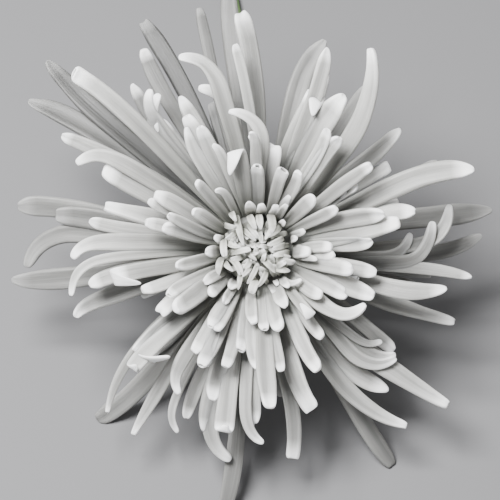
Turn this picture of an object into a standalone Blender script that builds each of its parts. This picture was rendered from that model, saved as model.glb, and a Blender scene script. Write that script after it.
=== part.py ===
"""Spider chrysanthemum: one cut bloom on a short stem, lying down with its face turned up.

Metres, +Z up. The origin is on the surface, under the middle of the flower's box.
The bloom is laid out in its own frame, in millimetres: x to the right across its face,
y up its face, z out of its face. FACE carries that frame to its place.
"""

import math
import random

import bmesh
import bpy
from mathutils import Matrix, Vector

MM = 0.001
SEED = 12

# How the bloom lies: its face leans this far from straight up, towards -Y.
FACE_LEAN = math.radians(30)
BLOOM_CENTRE = Vector((1.2, -44.0, 38.0))
FACE = (
    Matrix.Scale(MM, 4)
    @ Matrix.Translation(BLOOM_CENTRE)
    @ Matrix.Rotation(FACE_LEAN, 4, "X")
)

# Receptacle that the ray florets grow from, and the seat of the disc florets on it.
CORE_RADIUS = 10.0
CORE_TOP, CORE_BOTTOM = 4.0, -6.5
CORE_TOP_RADIUS, CORE_BOTTOM_RADIUS = 8.9, 8.4
GAP = 0.3

# Rows of ray florets, back to front: where a floret starts, the slope it leaves at, how high
# its tip stands for each millimetre of reach, the slope of its last stretch, and how much fuller
# than its listed width a floret is.
ROWS = {
    "resting": {"root": (6.6, -4.4), "launch": -8, "rise": -0.2, "end": -22, "full": 1.0},
    "back": {"root": (6.6, -4.4), "launch": -4, "rise": -0.12, "end": -14, "full": 1.08},
    "outer": {"root": (6.6, -2.6), "launch": 9, "rise": 0.03, "end": -10, "full": 1.15},
    "middle": {"root": (6.4, -0.8), "launch": 28, "rise": 0.22, "end": -12, "full": 1.2},
    "inner": {"root": (6.6, 0.6), "launch": 50, "rise": 0.5, "end": 2, "full": 1.25},
    "crown": {"root": (7.6, 1.2), "launch": 64, "rise": 0.8, "end": 30, "full": 1.15},
    "heart": {"root": (8.3, 1.6), "launch": 74, "rise": 0.86, "end": 16, "full": 1.0},
}

# How late a floret swings sideways on its way: a sweep over its outer half, or a hook at its tip.
SWEEP, HOOK = 3.5, 12

# The florets as they show from the face: direction of the tip (degrees, anticlockwise from the
# right), reach, how far the floret swings sideways on its way (degrees), width, and HOOK for
# those that swing only at the tip.
FLORETS = {
    "resting": (
        (302, 62, 0, 3.6), (262.4, 66, -1, 3.4), (226.8, 57, -3, 4.1),
    ),
    "back": (
        (138, 68.7, -1.5, 3.1), (147, 66.4, 4, 3.4), (116.6, 62, 3, 3.4), (103.4, 60.4, -1, 2.2),
        (96.1, 66, -0.5, 3.6), (72, 53.5, -4, 4.1), (55.4, 48.8, 0, 3.4), (26, 48.8, 0, 2.4),
        (9.6, 57.8, -3, 4.1), (3.8, 54.6, 6, 3.1), (352.8, 43, 0, 3.4), (169.6, 59, 2, 4.1),
        (170.2, 49.5, 0, 4.3), (184.4, 56, 9, 3.8, HOOK), (187, 60, -2, 4.1),
    ),
    "outer": (
        (322.3, 42.2, 7, 2.6, HOOK), (341.5, 37.5, 0, 3.0), (303, 40, 3, 3.0), (208, 36, 0, 3.2),
        (149.7, 54.4, 5, 2.9), (127, 49.5, -4, 2.9), (119.5, 55.5, -1, 2.6), (94.3, 57.6, 5, 3.8),
        (40.2, 45.1, 0, 3.4), (32.3, 37.8, -2, 2.9), (13.4, 47.6, 9, 3.0, HOOK), (9.4, 42.7, 9, 3.0, HOOK),
        (6.5, 37.1, 8, 3.0, HOOK), (352.7, 52, 0, 2.4), (340, 50.7, 2, 3.6), (323.7, 40.9, -3, 2.9),
        (324, 37, 7, 1.8, HOOK), (323.2, 41.6, 7, 2.6, HOOK), (320.9, 59.3, 5, 4.3), (313.1, 46.3, 9, 4.1),
        (310.5, 55.6, 10, 3.6), (279.6, 50.8, -3, 2.9), (267.8, 43.5, 0, 2.4), (263, 50.8, 8, 3.6, HOOK),
        (254.3, 45.5, 3, 3.4), (247.1, 44, 0, 2.9), (246.7, 47.8, 7, 1.8, HOOK), (236.1, 53.6, 3, 2.9),
        (227.8, 53.4, 9, 2.0), (200.8, 46.4, 0, 3.8),
    ),
    "middle": (
        (136, 60.6, 3, 4.1), (154.6, 47.6, 8, 3.1, HOOK), (152.3, 41.4, 0, 4.3),
        (123.4, 45.8, -6, 3.1, HOOK), (122, 43.8, -8, 3.1, HOOK), (112.3, 49.5, 11, 3.4, HOOK),
        (110, 41, 9, 3.1, HOOK), (96.2, 49.2, 5, 2.0),
        (71, 51, 2, 3.1), (67.8, 37, -4, 3.8), (60.5, 42.4, -2, 4.5), (60.8, 55, 13, 4.2),
        (20.2, 55, -5, 4.1), (13.6, 38.9, -2, 3.4), (348.6, 46, 5, 3.4), (289.1, 40.3, 2, 3.6),
        (269.1, 41.5, 3, 3.1), (272, 45.9, 1, 3.1), (259.5, 43.4, 3, 3.6), (253.5, 37.5, 0, 3.6),
        (241.8, 39.1, 6, 3.1, HOOK), (223.3, 40.6, 0, 3.1), (226, 37, 4, 4.1), (219.2, 38, 1, 2.9),
        (170, 40.7, 0, 2.6), (164, 38, 2, 4.3), (182.8, 44, 7, 3.6, HOOK), (194, 45.6, 12, 2.0, HOOK),
        (192, 41, 4, 3.1), (127.5, 39, 0, 4.0), (116.7, 41, 2, 3.1),
    ),
    "inner": (
        (118, 36, 3, 3.1), (119, 33.6, -3, 2.9), (115, 32.6, 2, 2.9), (113, 26.6, 0, 2.6),
        (101.7, 33.4, 14, 3.1, HOOK), (94, 28, 5, 3.1, HOOK), (80.3, 26, 0, 3.4), (59.6, 33.4, 2, 2.4),
        (53.6, 33.6, 0, 2.9), (36.6, 33.8, 0, 2.6), (15.4, 31.6, -6, 3.4), (11, 34.4, 2, 3.8),
        (12, 23, 0, 2.6), (4.5, 27.8, 0, 2.9), (34.5, 25.9, 3, 2.4), (32.6, 28.5, -3, 2.4),
        (344.2, 25.4, 0, 2.9), (349.3, 29, 0, 2.9), (338.5, 30.1, 0, 3.4), (333, 24.2, 0, 3.1),
        (333.8, 28.6, 12, 2.6, HOOK), (306.8, 26.2, 0, 2.4), (297, 32.3, 0, 2.9), (298.3, 25.6, 3, 2.4),
        (281.3, 29.4, 0, 2.2), (274.8, 37.6, 0, 3.4), (271, 28.3, 6, 2.4), (254.8, 28.9, 0, 2.4),
        (260.4, 24.6, 0, 2.9), (244, 31, 0, 2.9), (246, 30.2, 4, 2.4), (238, 28.6, 0, 2.6),
        (190.7, 31, 0, 3.8),
        (199.3, 29, 0, 2.4), (213.3, 28, 5, 2.9), (166, 27.5, 0, 2.4), (151.7, 27.8, 0, 2.9),
    ),
    "crown": (
        (89.7, 21, 0, 2.9), (71.7, 20.9, 0, 2.4), (62, 21.4, 3, 2.4), (28, 21.4, 0, 2.4),
        (2, 17.8, 0, 2.4), (354.5, 18.8, -3, 2.6), (347.7, 23.6, 0, 3.1), (238.8, 21.7, 0, 2.6),
        (215.4, 25, 0, 3.6), (207.3, 24, 3, 2.4), (166.4, 23, 0, 2.9), (158.4, 22.8, -4, 2.0),
        (190.4, 20, 0, 2.4), (131.5, 22, 0, 2.2), (148.4, 18.3, 0, 2.4), (224.7, 16.2, 4, 2.4),
        (268, 17.7, 6, 2.2), (286, 20.2, 0, 2.9), (309, 19.3, 0, 3.1), (43, 19, 0, 2.9),
        (102, 22.5, 0, 3.1), (325, 19, 3, 2.6),
    ),
    "heart": (
        (182, 13, 0, 2.9), (163, 10.8, 0, 2.2), (212, 14.8, 0, 2.6), (100, 12.4, 0, 2.7),
        (85, 11.5, 0, 2.6), (67, 11.8, 0, 2.1), (57, 13.2, 0, 1.8), (47, 9.8, 0, 1.8),
        (22.6, 12.6, 0, 1.8), (16, 10.4, 0, 1.8), (358, 13, 0, 3.4), (351.4, 14.7, 0, 1.8),
        (327, 12.6, 14, 1.8), (311, 11.8, 0, 2.0), (235, 12, 0, 2.7),
    ),
}

# Short florets behind the listed ones, which close the view between their roots.
FILL_COUNT = 12
FILL_REACH = (34, 40)

# Section of a floret along its length: share of the way, width share. The root is a narrow neck.
LONG_SECTIONS = ((0.0, 0.5), (0.22, 0.66), (0.5, 0.92), (0.76, 1.0), (0.93, 0.78), (1.0, 0.36))
HOOK_SECTIONS = ((0.0, 0.5), (0.3, 0.7), (0.6, 0.94), (0.82, 1.0), (0.93, 0.86), (1.0, 0.4))
SHORT_SECTIONS = ((0.0, 0.55), (0.4, 0.8), (0.8, 1.0), (1.0, 0.45))
SHORT_REACH = 27
FLORET_SIDES = 5
DEPTH_SHARE = 0.56
DEEPEST_TIP = 1.0

# Disc florets: a low button and the short tubes crowded on it.
BUTTON_RADIUS, BUTTON_HEIGHT = 7.4, 4.4
DISC_COUNT = 48
DISC_WIDTH = 1.7
DISC_LIMIT = 7.0

# Green parts: receptacle cup under the head, rows of bracts on it, and the stem.
CUP_TOP_RADIUS, CUP_DEPTH = 8.0, 8.5
# Rows of bracts: how many, height of their roots, length, and slope.
BRACT_ROWS = ((16, -9.2, 9.0, 6), (14, -10.8, 7.6, -8), (11, -12.6, 5.6, -22))
BRACT_WIDTH, BRACT_DEPTH, BRACT_SAG = 3.4, 0.9, 0.7
STEM_RADIUS = 2.2
STEM_SIDES = 8
STEM_BEND_RINGS = 12
STEM_RUN, STEM_RUN_RINGS = 90, 9
STEM_DRIFT, STEM_CURVE, DRIFT_POWER = -5.5, 82, 2.5
STEM_CUT = math.radians(35)

COLOURS = {
    "ray_florets": ((0.86, 0.86, 0.84, 1), 0.55),
    "disc_florets": ((0.8, 0.82, 0.62, 1), 0.6),
    "stem_with_bracts": ((0.16, 0.3, 0.09, 1), 0.5),
}


def clear_scene():
    for obj in list(bpy.data.objects):
        bpy.data.objects.remove(obj, do_unlink=True)


def bezier(points, t):
    a, b, c, d = points
    s = 1 - t
    return a * s**3 + b * 3 * s * s * t + c * 3 * s * t * t + d * t**3


def slope(length, degrees):
    angle = math.radians(degrees)
    return Vector((math.cos(angle), math.sin(angle))) * length


def surface_height(y):
    """Height in the bloom's frame at which the surface lies under a point y up the face."""
    return -(BLOOM_CENTRE.z + y * math.sin(FACE_LEAN)) / math.cos(FACE_LEAN)


def side_view(row, tip):
    """Control points of a floret seen from its side: distance out and height."""
    root = Vector(row["root"])
    span = (tip - root).length
    return root, root + slope(0.38 * span, row["launch"]), tip - slope(0.34 * span, row["end"]), tip


def ring(centre, along, across, half_width, half_depth, frame=FACE):
    """The matrix that carries a unit circle to a section of a tube."""
    along = along.normalized()
    side = (across - across.dot(along) * along).normalized()
    face = along.cross(side)
    turned = Matrix((side * half_width, face * half_depth, along)).transposed().to_4x4()
    return frame @ Matrix.Translation(centre) @ turned


def rings_along(centre_line, across, sections, width, depth):
    """Rings of a tube whose centre line is a function of the share of the way."""
    step = 0.01
    rings = []
    for t, share in sections:
        along = centre_line(min(t + step, 1)) - centre_line(max(t - step, 0))
        rings.append(ring(centre_line(t), along, across(t), share * width / 2, share * depth / 2))
    return rings


def floret_rings(row_name, direction, reach, swing, width, lift, late=SWEEP):
    """Rings of one ray floret, root to tip."""
    row = ROWS[row_name]
    width *= row["full"]
    depth = DEPTH_SHARE * width
    height = row["root"][1] + row["rise"] * reach + lift
    tip_up = reach * math.sin(math.radians(direction))
    floor = surface_height(tip_up) + (0 if row_name == "resting" else DEEPEST_TIP)
    height = floor if row_name == "resting" else max(height, floor + depth)
    points = side_view(row, Vector((reach, height)))

    def angle(t):
        return math.radians(direction - swing * (1 - t**late))

    def centre_line(t):
        out, up = bezier(points, t)
        return Vector((out * math.cos(angle(t)), out * math.sin(angle(t)), up))

    def across(t):
        return Vector((-math.sin(angle(t)), math.cos(angle(t)), 0))

    sections = HOOK_SECTIONS if late == HOOK else LONG_SECTIONS
    if reach < SHORT_REACH:
        sections = SHORT_SECTIONS
    return rings_along(centre_line, across, sections, width, depth)


def tube(name, rings, sides):
    """A closed tube: a unit circle extruded from ring to ring, held above the surface."""
    bm = bmesh.new()
    bmesh.ops.create_circle(bm, segments=sides, radius=1.0, matrix=rings[0])
    edges = bm.edges[:]
    for before, after in zip(rings, rings[1:]):
        grown = bmesh.ops.extrude_edge_only(bm, edges=edges)["geom"]
        verts = [item for item in grown if isinstance(item, bmesh.types.BMVert)]
        edges = [item for item in grown if isinstance(item, bmesh.types.BMEdge)]
        bmesh.ops.transform(bm, matrix=after @ before.inverted(), verts=verts)
    bmesh.ops.holes_fill(bm, edges=bm.edges[:], sides=sides)
    bmesh.ops.recalc_face_normals(bm, faces=bm.faces[:])
    for vert in bm.verts:
        vert.co.z = max(vert.co.z, 0.0)
    mesh = bpy.data.meshes.new(name)
    bm.to_mesh(mesh)
    bm.free()
    return bpy.data.objects.new(name, mesh)


def turned(name, profile, steps):
    """A solid of revolution about the bloom's axis, from a profile of radii and heights."""
    bm = bmesh.new()
    verts = [bm.verts.new((radius * MM, 0, height * MM)) for radius, height in profile]
    for first, second in zip(verts, verts[1:]):
        bm.edges.new((first, second))
    mesh = bpy.data.meshes.new(name)
    bm.to_mesh(mesh)
    bm.free()
    obj = bpy.data.objects.new(name, mesh)
    screw = obj.modifiers.new("turn", "SCREW")
    screw.steps = screw.render_steps = steps
    screw.use_merge_vertices = True
    screw.merge_threshold = 0.00001
    bpy.context.scene.collection.objects.link(obj)
    solid = evaluated_mesh(obj)
    bpy.data.objects.remove(obj)
    solid.transform(Matrix.Scale(1 / MM, 4))
    solid.transform(FACE)
    return bpy.data.objects.new(name, solid)


def evaluated_mesh(obj):
    graph = bpy.context.evaluated_depsgraph_get()
    return bpy.data.meshes.new_from_object(obj.evaluated_get(graph))


def largest_body(mesh):
    """Keeps the main body, so that sealed hollows are filled and loose scraps are dropped."""
    bm = bmesh.new()
    bm.from_mesh(mesh)
    left = set(bm.faces)
    bodies = []
    while left:
        body, rim = set(), [left.pop()]
        while rim:
            face = rim.pop()
            body.add(face)
            near = {other for edge in face.edges for other in edge.link_faces} & left
            left -= near
            rim += near
        bodies.append(body)
    main = max(bodies, key=len)
    bmesh.ops.delete(bm, geom=[face for face in bm.faces if face not in main], context="FACES")
    bm.to_mesh(mesh)
    bm.free()


def fused(name, base, pieces, collection):
    """One closed body made of the base and every piece, by one union on a collection."""
    loose = bpy.data.collections.new(name + "_pieces")
    bpy.context.scene.collection.children.link(loose)
    for piece in pieces:
        loose.objects.link(piece)
    collection.objects.link(base)
    union = base.modifiers.new("union", "BOOLEAN")
    union.operation = "UNION"
    union.operand_type = "COLLECTION"
    union.collection = loose
    union.solver = "MANIFOLD"
    mesh = evaluated_mesh(base)
    for piece in pieces + [base]:
        bpy.data.objects.remove(piece)
    bpy.data.collections.remove(loose)
    largest_body(mesh)
    mesh.name = name
    colour, roughness = COLOURS[name]
    mesh.materials.clear()
    mesh.materials.append(plain_material(name, colour, roughness))
    mesh.shade_smooth()
    mesh.set_sharp_from_angle(angle=math.radians(50))
    node = bpy.data.objects.new(name, mesh)
    collection.objects.link(node)
    return node


def plain_material(name, colour, roughness):
    material = bpy.data.materials.new(name)
    material.use_nodes = True
    shader = material.node_tree.nodes["Principled BSDF"]
    shader.inputs["Base Color"].default_value = colour
    shader.inputs["Roughness"].default_value = roughness
    shader.inputs["Metallic"].default_value = 0.0
    return material


def build_ray_florets(collection):
    """Every row of ray florets on the head they grow from."""
    draw = random.Random(SEED)
    core = turned("core", (
        (0, CORE_TOP), (CORE_TOP_RADIUS, CORE_TOP), (CORE_RADIUS, 1.5), (CORE_RADIUS, -4),
        (CORE_BOTTOM_RADIUS, CORE_BOTTOM), (0, CORE_BOTTOM),
    ), 18)
    florets = []
    for row_name, row in FLORETS.items():
        for direction, reach, swing, width, *late in row:
            lift = draw.uniform(-1.2, 1.2)
            rings = floret_rings(row_name, direction, reach, swing, width, lift, *late)
            florets.append(tube("ray", rings, FLORET_SIDES))
    for index in range(FILL_COUNT):
        direction = 360 * (index + 0.5) / FILL_COUNT + draw.uniform(-6, 6)
        rings = floret_rings("back", direction, draw.uniform(*FILL_REACH), 0, 3.2, -1.5)
        florets.append(tube("ray", rings, FLORET_SIDES))
    return fused("ray_florets", core, florets, collection)


def disc_floret_rings(index, draw):
    """Rings of one disc floret: a short tube that leans and curls its own way."""
    share = (index + 0.5) / DISC_COUNT
    place = 137.5 * index
    out = DISC_LIMIT * math.sqrt(share)
    root_height = CORE_TOP + GAP + 0.5 * BUTTON_HEIGHT * (1 - share)
    length = draw.uniform(5.5, 8.5)
    lean, side = draw.uniform(-0.2, 0.5), draw.uniform(-0.5, 0.5)

    def centre_line(t):
        away = min(out + lean * length * t * t, DISC_LIMIT)
        angle = math.radians(place) + side * t * t
        return Vector((away * math.cos(angle), away * math.sin(angle), root_height + length * t))

    def across(t):
        return Vector((-math.sin(math.radians(place)), math.cos(math.radians(place)), 0))

    sections = ((0.0, 0.7), (0.55, 0.85), (0.9, 1.0), (1.0, 0.6))
    return rings_along(centre_line, across, sections, DISC_WIDTH, 0.8 * DISC_WIDTH)


def build_disc_florets(collection):
    draw = random.Random(SEED + 1)
    bottom = CORE_TOP + GAP
    button = turned("button", (
        (0, bottom + BUTTON_HEIGHT), (0.6 * BUTTON_RADIUS, bottom + 0.85 * BUTTON_HEIGHT),
        (BUTTON_RADIUS, bottom + 0.3 * BUTTON_HEIGHT), (BUTTON_RADIUS, bottom), (0, bottom),
    ), 16)
    tubes = [tube("disc", disc_floret_rings(index, draw), 5) for index in range(DISC_COUNT)]
    return fused("disc_florets", button, tubes, collection)


def bract_rings(direction, height, length, rise):
    """Rings of one bract: a pointed scale pressed to the cup at its base."""
    root = Vector((0.55 * CUP_TOP_RADIUS, height))
    tip = root + slope(length, rise)
    angle = math.radians(direction)

    def centre_line(t):
        out, up = root.lerp(tip, t)
        up -= BRACT_SAG * math.sin(math.pi * t)
        return Vector((out * math.cos(angle), out * math.sin(angle), up))

    def across(t):
        return Vector((-math.sin(angle), math.cos(angle), 0))

    sections = ((0.0, 0.9), (0.45, 1.0), (0.8, 0.8), (1.0, 0.35))
    return rings_along(centre_line, across, sections, BRACT_WIDTH, BRACT_DEPTH)


def stem_drift(run):
    """How far the stem has turned aside, and how fast, a given run along Y from its start."""
    curved = min(run, STEM_CURVE)
    rate = STEM_DRIFT * DRIFT_POWER / STEM_CURVE
    aside = STEM_DRIFT * (curved / STEM_CURVE) ** DRIFT_POWER + rate * (run - curved)
    return aside, rate * (curved / STEM_CURVE) ** (DRIFT_POWER - 1)


def stem_places():
    """Centres and directions of the stem: out of the cup, round its bend, along the surface."""
    to_place = Matrix.Translation(BLOOM_CENTRE) @ Matrix.Rotation(FACE_LEAN, 4, "X")
    start = to_place @ Vector((0, 0, CORE_BOTTOM - GAP - 0.6 * CUP_DEPTH))
    turn = math.pi / 2 - FACE_LEAN
    lying = STEM_RADIUS * math.cos(math.pi / STEM_SIDES)
    bend = (start.z - lying) / (1 - math.cos(turn))
    profile = []
    for index in range(STEM_BEND_RINGS + 1):
        angle = turn * (1 - index / STEM_BEND_RINGS)
        run = bend * (math.sin(turn) - math.sin(angle))
        profile.append((run, lying + bend * (1 - math.cos(angle)), angle))
    landing = profile[-1][0]
    for index in range(1, STEM_RUN_RINGS + 1):
        profile.append((landing + STEM_RUN * index / STEM_RUN_RINGS, lying, 0))
    places = []
    for run, height, angle in profile:
        aside, rate = stem_drift(run)
        along = Vector((rate * math.cos(angle), math.cos(angle), -math.sin(angle)))
        places.append((Vector((start.x + aside, start.y + run, height)), along))
    return places


def stem_tube():
    """The stem, with one of its flat sides on the surface and its end cut on the slant."""
    flat_side_down = Matrix.Rotation(math.pi / STEM_SIDES, 4, "Z")
    frame = Matrix.Scale(MM, 4)
    places = stem_places()
    rings = [
        ring(centre, along, Vector((1, 0, 0)), STEM_RADIUS, STEM_RADIUS, frame) @ flat_side_down
        for centre, along in places
    ]
    slant = Matrix.Identity(4)
    slant[1][2] = -math.tan(STEM_CUT)
    end = frame @ Matrix.Translation(places[-1][0])
    rings[-1] = end @ slant @ end.inverted() @ rings[-1]
    return tube("stem", rings, STEM_SIDES)


def build_stem_with_bracts(collection):
    draw = random.Random(SEED + 2)
    top = CORE_BOTTOM - GAP
    cup = turned("cup", (
        (0, top), (CUP_TOP_RADIUS, top), (CUP_TOP_RADIUS - 0.4, top - 2.2),
        (0.66 * CUP_TOP_RADIUS, top - 5), (1.12 * STEM_RADIUS, top - CUP_DEPTH), (0, top - CUP_DEPTH),
    ), 16)
    pieces = [stem_tube()]
    for count, height, length, rise in BRACT_ROWS:
        offset = draw.uniform(0, 360 / count)
        for index in range(count):
            direction = offset + 360 * index / count + draw.uniform(-4, 4)
            rings = bract_rings(direction, height, length * draw.uniform(0.9, 1.08), rise)
            pieces.append(tube("bract", rings, 5))
    return fused("stem_with_bracts", cup, pieces, collection)


def main():
    clear_scene()
    flower = bpy.data.collections.new("spider_chrysanthemum")
    bpy.context.scene.collection.children.link(flower)
    build_stem_with_bracts(flower)
    build_ray_florets(flower)
    build_disc_florets(flower)


main()
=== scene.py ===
import math
import random

import bmesh
import bpy
from mathutils import Matrix, Quaternion, Vector


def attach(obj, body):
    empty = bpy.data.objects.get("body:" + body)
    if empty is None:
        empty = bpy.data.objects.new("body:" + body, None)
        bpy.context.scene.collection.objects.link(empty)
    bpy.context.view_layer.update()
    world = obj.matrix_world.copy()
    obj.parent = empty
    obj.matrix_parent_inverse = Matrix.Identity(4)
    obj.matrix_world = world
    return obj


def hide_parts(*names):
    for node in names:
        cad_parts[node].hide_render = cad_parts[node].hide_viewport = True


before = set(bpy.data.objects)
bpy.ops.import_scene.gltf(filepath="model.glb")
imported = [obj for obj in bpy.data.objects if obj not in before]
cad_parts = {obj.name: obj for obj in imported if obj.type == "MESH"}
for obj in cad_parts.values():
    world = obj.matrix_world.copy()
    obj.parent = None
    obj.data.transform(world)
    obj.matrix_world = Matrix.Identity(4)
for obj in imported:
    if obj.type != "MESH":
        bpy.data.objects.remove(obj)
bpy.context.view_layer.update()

mm = 0.001

# the bloom's own frame, in mm: x right across its face, y up its face, z out of it
bloom = {
    "centre": Vector((1.2, -44.0, 38.0)),
    "lean": math.radians(30),       # of the face, from straight up towards -Y
    "headTop": 4.0,
    "headBottom": -6.5,
    "headSide": [(8.2, 4.0), (9.6, 2.4), (10.0, -1.0), (9.6, -4.0), (8.3, -6.5)],   # radius, height
    "gap": 0.3,                     # between the head and what sits on or under it
}
lowest = 0.00002                    # nothing goes lower over the surface that it lies on (m)
tilt = Matrix.Rotation(bloom["lean"], 4, "X")
faceToWorld = Matrix.Scale(mm, 4) @ Matrix.Translation(bloom["centre"]) @ tilt
lyingToWorld = Matrix.Scale(mm, 4)


def slope(length, degrees):
    angle = math.radians(degrees)
    return Vector((math.cos(angle), math.sin(angle))) * length


def bezier(points, t):
    a, b, c, d = points
    s = 1 - t
    return a * s**3 + b * 3 * s * s * t + c * 3 * s * t * t + d * t**3


def eitherWay(draw, most):
    return draw.uniform(-most, most)


def readCurve(table, x):
    # straight lines between (x, value) pairs
    for (x0, y0), (x1, y1) in zip(table, table[1:]):
        if x <= x1:
            return y0 + (y1 - y0) * (x - x0) / (x1 - x0)
    return table[-1][1]


def walkPath(points, side):
    # frames along a line of points, turned as little as possible: distance, point, along, side
    frames = []
    distance = 0.0
    along = (points[1] - points[0]).normalized()
    side = (side - side.dot(along) * along).normalized()
    for index, point in enumerate(points):
        if index:
            distance += (point - points[index - 1]).length
        ahead = (points[min(index + 1, len(points) - 1)] - points[max(index - 1, 0)]).normalized()
        side = along.rotation_difference(ahead) @ side
        along = ahead
        frames.append((distance, point.copy(), along.copy(), side.copy()))
    return frames


def frameAt(frames, distance):
    for before, after in zip(frames, frames[1:]):
        if distance <= after[0]:
            break
    t = min(max((distance - before[0]) / max(after[0] - before[0], 1e-9), 0), 1)
    return [before[item].lerp(after[item], t) for item in (1, 2, 3)]


def ringMatrix(point, along, side, halfWidth, halfDepth, roll, place):
    # carries a unit circle to a section of a tube, its y out of the face
    along = along.normalized()
    side = (side - side.dot(along) * along).normalized()
    side = Quaternion(along, roll) @ side
    face = along.cross(side)
    turned = Matrix((side * halfWidth, face * halfDepth, along)).transposed().to_4x4()
    return place @ Matrix.Translation(point) @ turned


def newPiece():
    # tone holds: brightness, share of the way from the root, a number of its own, paleness
    bm = bmesh.new()
    tone = bm.verts.layers.float_color.new("tone")
    turn = bm.verts.layers.float.new("turn")
    return bm, (tone, turn, bm.loops.layers.uv.new("lengthMap"))


def newObject(name, data):
    made = bpy.data.objects.new(name, data)
    bpy.context.scene.collection.objects.link(made)
    return made


# how late painted shade darkens a dark tip, and how far round a corner is that comes just before or after
# the seam
tubeShape = {"tipShadePower": 5, "beforeSeam": 0.6, "afterSeam": 0.3}


def growTube(bm, layers, section, rings, brightness, ownNumber, tipShade=0.0):
    # one tube: a circle shaped by section, then extruded from ring to ring and closed at both ends;
    # a ring is its matrix, its share of the way and its paleness
    tone, turn, uvMap = layers
    sides = len(section)
    swell = 3 / (2 + math.cos(math.tau / sides))      # what smoothing will draw in
    start = bmesh.ops.create_circle(bm, segments=sides, radius=swell)["verts"]
    for index, vert in enumerate(start):
        wide, deep = section[index]
        vert.co = Vector((vert.co.x * wide, vert.co.y * deep, 0))
        vert[turn] = ((index + sides // 2) % sides) / sides      # the seam runs along the underside
    bmesh.ops.transform(bm, matrix=rings[0][0], verts=start)
    edges = list({edge for vert in start for edge in vert.link_edges})
    firstEdges = list(edges)
    rows = [start]
    faces = []
    for before, after in zip(rings, rings[1:]):
        grown = bmesh.ops.extrude_edge_only(bm, edges=edges)["geom"]
        verts = [item for item in grown if isinstance(item, bmesh.types.BMVert)]
        edges = [item for item in grown if isinstance(item, bmesh.types.BMEdge)]
        faces += [item for item in grown if isinstance(item, bmesh.types.BMFace)]
        bmesh.ops.transform(bm, matrix=after[0] @ before[0].inverted(), verts=verts)
        rows.append(verts)
    for verts, (_, way, pale) in zip(rows, rings):
        # painted shade over the far end of the tube, given for the back florets
        bright = brightness * (1 - tipShade * way ** tubeShape["tipShadePower"])
        for vert in verts:
            vert[tone] = (bright, way, ownNumber, pale)
    faces += bmesh.ops.holes_fill(bm, edges=firstEdges + edges, sides=sides)["faces"]
    for face in faces:
        # where the ring closes, the seam counts as the end of the round instead of its start
        wraps = any(loop.vert[turn] > tubeShape["beforeSeam"] for loop in face.loops)
        for loop in face.loops:
            around = loop.vert[turn]
            if wraps and around < tubeShape["afterSeam"]:
                around += 1
            loop[uvMap].uv = (around, loop.vert[tone][1])
    return rows


def ruffle(rows, amount, draw):
    # moves every vert of these rings a little its own way
    for verts in rows:
        for vert in verts:
            vert.co += Vector([draw.uniform(-1, 1) for _ in range(3)]) * amount


# what a turned solid stores in the place of a tube's: its share of the way, its number, and how
# much of its veins' length goes by for each mm of height
solidTone = {"way": 0.3, "number": 0.5, "perHeight": 0.05}


def spinSolid(bm, layers, profile, steps, brightness):
    # a profile of radii and heights turned about the bloom's axis
    tone, _, uvMap = layers
    verts = [bm.verts.new((radius, 0, height)) for radius, height in profile]
    edges = [bm.edges.new(pair) for pair in zip(verts, verts[1:])]
    bmesh.ops.spin(
        bm, geom=verts + edges, cent=(0, 0, 0), axis=(0, 0, 1), dvec=(0, 0, 0),
        angle=2 * math.pi, steps=steps, use_merge=True,
    )
    bmesh.ops.remove_doubles(bm, verts=bm.verts[:], dist=0.0005)     # mm
    for face in bm.faces:
        for loop in face.loops:
            place = loop.vert.co
            around = math.atan2(place.y, place.x) / math.tau + 0.5
            loop[uvMap].uv = (around, place.z * solidTone["perHeight"])
    bmesh.ops.transform(bm, matrix=faceToWorld, verts=bm.verts[:])
    for vert in bm.verts:
        vert[tone] = (brightness, solidTone["way"], solidTone["number"], 0.0)


def finishPiece(bm, name, material, nodeName, levels=2):
    bmesh.ops.recalc_face_normals(bm, faces=bm.faces[:])
    for vert in bm.verts:
        vert.co.z = max(vert.co.z, lowest)
    mesh = bpy.data.meshes.new(name)
    bm.to_mesh(mesh)
    bm.free()
    mesh.materials.append(material)
    mesh.shade_smooth()
    piece = newObject(name, mesh)
    smooth = piece.modifiers.new("smooth", "SUBSURF")
    smooth.levels = smooth.render_levels = levels
    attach(piece, "root")
    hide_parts(nodeName)
    print("made", name, "with", len(mesh.polygons), "cage faces")


def newMaterial(name):
    material = bpy.data.materials.new(name)
    material.use_nodes = True
    return material, material.node_tree.nodes


def setInputs(node, values):
    # sets or links the inputs of a node, by name or number
    for name, value in values.items():
        if isinstance(value, bpy.types.NodeSocket):
            node.id_data.links.new(value, node.inputs[name])
        else:
            node.inputs[name].default_value = value


def mixColours(nodes, blend, amount, first, second):
    mix = nodes.new("ShaderNodeMix")
    mix.data_type = "RGBA"
    mix.blend_type = blend
    setInputs(mix, {0: amount, 6: first, 7: second})
    return mix.outputs[2]


def calculate(nodes, operation, first, second):
    node = nodes.new("ShaderNodeMath")
    node.operation = operation
    setInputs(node, {0: first, 1: second})
    return node.outputs[0]


def colourRamp(nodes, source, stops):
    node = nodes.new("ShaderNodeValToRGB")
    ends = node.color_ramp.elements
    ends[0].position, ends[0].color = stops[0]
    ends[1].position, ends[1].color = stops[-1]
    for position, colour in stops[1:-1]:
        ends.new(position).color = colour
    setInputs(node, {0: source})
    return node.outputs[0]


def grey(value):
    return (value, value, value, 1)


def darkenUnder(nodes, source, edges, dark):
    # dark under the first edge, unchanged over the second
    return colourRamp(nodes, source, [(edges[0], grey(dark)), (edges[1], grey(1.0))])


def noiseOn(nodes, place, scale, detail, roughness=0.5):
    noise = nodes.new("ShaderNodeTexNoise")
    setInputs(noise, {"Vector": place, "Scale": scale, "Detail": detail, "Roughness": roughness})
    return noise.outputs[0]


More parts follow.
